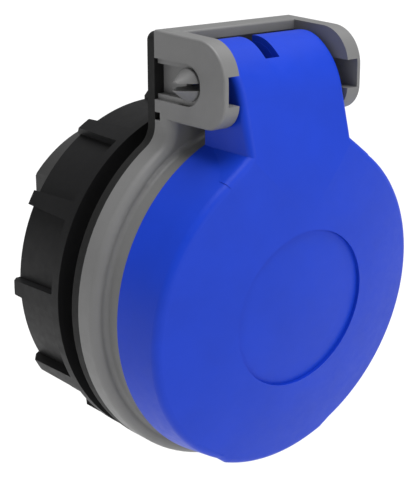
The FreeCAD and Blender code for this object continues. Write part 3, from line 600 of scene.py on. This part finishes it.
@dataclass
class HingePin:
    """Pin along the hinge with a head at its right end and a split blunt cone at its left, in mm."""

    shaft_r: float = 2.25
    cone_r: float = 2.65
    cone_x: float = -14.3
    cone_band: float = 0.4
    tip_x: float = -17.2
    tip_r: float = 0.85
    slit: float = 1.15
    slit_end: float = -6.1
    head_r: float = 3.0
    head_x: float = 14.3
    head_t: float = 0.8
    edge: float = 0.2
    sides: int = 48

    def half(self, side: int) -> Shell:
        """Half of the split end, above or below the slit.

        Args:
            side: 1 for above, -1 for below.

        Returns:
            The shell.
        """
        stations = (
            (self.tip_x, self.tip_r),
            (self.cone_x - self.cone_band, self.cone_r),
            (self.cone_x, self.cone_r),
            (self.cone_x, self.shaft_r),
            (self.slit_end, self.shaft_r),
        )
        count = self.sides // 2
        loops = []
        for x, r in stations:
            low = math.asin(0.5 * self.slit / r)
            step = (math.pi - 2.0 * low) / (count - 1)
            loops.append([hinge_point(x, r, side * (low + step * k)) for k in range(count)])
        return skin(loops)

    def build(self, material: bpy.types.Material) -> None:
        """Make the pin in place of the CAD one.

        Args:
            material: its finish.
        """
        end = self.head_x + self.head_t
        whole = (
            (self.slit_end, self.shaft_r),
            (self.head_x, self.shaft_r),
            (self.head_x, self.head_r),
            (end - self.edge, self.head_r),
            (end, self.head_r - self.edge),
        )
        shaft = skin([[hinge_point(x, r, a) for a in full_turn(self.sides)] for x, r in whole])
        pin = make_piece("hinge_pin_split", [self.half(1), self.half(-1), shaft], material)
        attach(pin, "housing")
        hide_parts("hinge_pin")


@dataclass
class EarLedges:
    """Ledge round the floor of the recess in each ear, beside the pin's ends, in mm."""

    outer_r: float = 3.45
    slot_r: float = 2.45
    floor_x: float = 12.9
    ledge_x: float = 14.25
    rear_y: float = -1.85
    steps: int = 24

    def build(self, material: bpy.types.Material) -> None:
        """Make the ledge of both ears.

        Args:
            material: its finish.
        """
        straight = Vector((0.0, self.rear_y - HINGE_Y, 0.0))
        turns = [math.pi * (0.5 + k / self.steps) for k in range(self.steps + 1)]
        corners = (
            (self.floor_x, self.slot_r),
            (self.floor_x, self.outer_r),
            (self.ledge_x, self.outer_r),
            (self.ledge_x, self.slot_r),
        )
        shells = []
        for side in (-1.0, 1.0):
            bend = [[hinge_point(side * x, r, a) for x, r in corners] for a in turns]
            top = [point + straight for point in bend[0]]
            bottom = [point + straight for point in bend[-1]]
            shells.append(skin([top, *bend, bottom]))
        ledges = make_piece("ear_ledges", shells, material)
        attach(ledges, "housing")


@dataclass
class BarEdge:
    """Crisp upper edge of the bar between the ears, in mm."""

    half: float = 11.8
    ramp: float = 1.1
    ramp_drop: float = 0.25
    top_z: float = BAR_TOP_Z
    low_z: float = 43.14
    front_y: float = -6.11
    rear_y: float = -4.6
    root_y: float = -5.9
    root_z: float = 44.5
    rounding: float = 0.4
    steps: int = 6

    def build(self, material: bpy.types.Material) -> None:
        """Make the edge.

        Args:
            material: its finish.
        """
        outline = [(self.rear_y, self.top_z)]
        for k in range(self.steps + 1):
            a = math.pi * (0.5 + 0.5 * k / self.steps)
            outline.append((
                self.front_y + self.rounding * (1.0 + math.cos(a)),
                self.top_z - self.rounding * (1.0 - math.sin(a)),
            ))
        outline += [(self.front_y, self.low_z), (self.root_y, self.low_z), (self.rear_y, self.root_z)]
        end = self.half + self.ramp
        stations = ((-end, self.ramp_drop), (-self.half, 0.0), (self.half, 0.0), (end, self.ramp_drop))
        loops = [[Vector((x, y, z - drop)) for y, z in outline] for x, drop in stations]
        bar = make_piece("bar_edge", [skin(loops)], material)
        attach(bar, "housing")


@dataclass
class GasketSheet:
    """Flange gasket whose tab ends a little below the top of the bar, in mm."""

    still_z: float = 40.0
    top_z: float = BAR_TOP_Z
    drop: float = 0.45

    def build(self, material: bpy.types.Material) -> None:
        """Make the sheet from the CAD one, with its tab shortened.

        Args:
            material: its finish.
        """
        mesh = frame["nodes"]["flange_gasket"].data.copy()
        mesh.name = "gasket_sheet"
        share = 1.0 - self.drop / (self.top_z - self.still_z)
        for vertex in mesh.vertices:
            above = vertex.co.z - self.still_z * MM
            if above > 0.0:
                vertex.co.z = self.still_z * MM + above * share
        mesh.materials.clear()
        mesh.materials.append(material)
        sheet = bpy.data.objects.new("gasket_sheet", mesh)
        bpy.context.scene.collection.objects.link(sheet)
        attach(sheet, "housing")
        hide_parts("flange_gasket")
        log.info("built %s", sheet.name)


@dataclass
class Housing:
    """Front housing with the ledges and the bar of its hinge, the hinge pin and the flange gasket."""

    plastic: MouldedPlastic = HOUSING_GREY
    rubber: MouldedPlastic = GASKET_BLACK
    pin: HingePin = field(default_factory=HingePin)
    ledges: EarLedges = field(default_factory=EarLedges)
    bar: BarEdge = field(default_factory=BarEdge)
    gasket: GasketSheet = field(default_factory=GasketSheet)

    def dress(self) -> None:
        """Give the pieces their finishes and build those that the scene adds."""
        grey = self.plastic.build()
        dress("front_housing", grey)
        for piece in (self.pin, self.ledges, self.bar):
            piece.build(grey)
        self.gasket.build(self.rubber.build())


@dataclass
class HoodWeb:
    """Thin wall inside the hood, round the pin, beside the slot in its top, in mm."""

    left_x: float = -0.55
    right_x: float = -0.25
    inner_r: float = 2.4
    outer_r: float = 5.5
    sides: int = 48

    def build(self, material: bpy.types.Material) -> None:
        """Make the wall.

        Args:
            material: its finish.
        """
        corners = (
            (self.left_x, self.inner_r),
            (self.left_x, self.outer_r),
            (self.right_x, self.outer_r),
            (self.right_x, self.inner_r),
        )
        loops = [[hinge_point(x, r, a) for x, r in corners] for a in full_turn(self.sides)]
        web = make_piece("hood_web", [skin(loops, hoop=True)], material)
        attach(web, "lid")


@dataclass
class Lid:
    """Hinged lid, its seal and its spring."""

    plastic: MouldedPlastic = LID_BLUE
    rubber: MouldedPlastic = GASKET_BLACK
    spring: SpringCoil = field(default_factory=SpringCoil)
    web: HoodWeb = field(default_factory=HoodWeb)

    def dress(self) -> None:
        """Give the lid and seal their finishes and build the spring and the hood's inner wall."""
        blue = self.plastic.build()
        dress("lid", blue)
        self.web.build(blue)
        dress("lid_gasket", self.rubber.build())
        self.spring.build(SPRING.build())


@dataclass
class Mounting:
    """Lock nut and the block behind the barrel."""

    nut: MouldedPlastic = NUT_BLACK
    block: MouldedPlastic = BLOCK_DARK

    def dress(self) -> None:
        """Give the pieces their finishes."""
        dress("lock_nut", self.nut.build())
        dress("terminal_block", self.block.build())


@dataclass
class Contacts:
    """Insert with the plug well, the contacts, the terminals and their screws."""

    insert: MouldedPlastic = INSERT_DARK
    brass: tuple[str, ...] = (
        "line_contact",
        "neutral_contact",
        "line_terminal",
        "neutral_terminal",
        "earth_strap",
        "earth_terminal",
    )
    steel: tuple[str, ...] = ("line_contact_ring", "neutral_contact_ring")
    screws: tuple[str, ...] = (
        "line_screw",
        "neutral_screw",
        "earth_screw",
        "carrier_screw_upper",
        "carrier_screw_lower",
    )

    def dress(self) -> None:
        """Give the pieces their finishes."""
        dress("socket_insert", self.insert.build())
        for names, finish in ((self.brass, BRASS), (self.steel, SPRING), (self.screws, SCREW)):
            material = finish.build()
            for node in names:
                dress(node, material)


def main() -> None:
    """Build the looks in order."""
    logging.basicConfig(level=logging.INFO, format="%(message)s")
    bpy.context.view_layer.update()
    bpy.context.scene.view_settings.view_transform = "Standard"
    PhotoCamera().build()
    Studio().build()
    for assembly in (Housing(), Lid(), Mounting(), Contacts()):
        assembly.dress()
        log.info("finished %s", type(assembly).__name__)


if __name__ == "__main__":
    main()
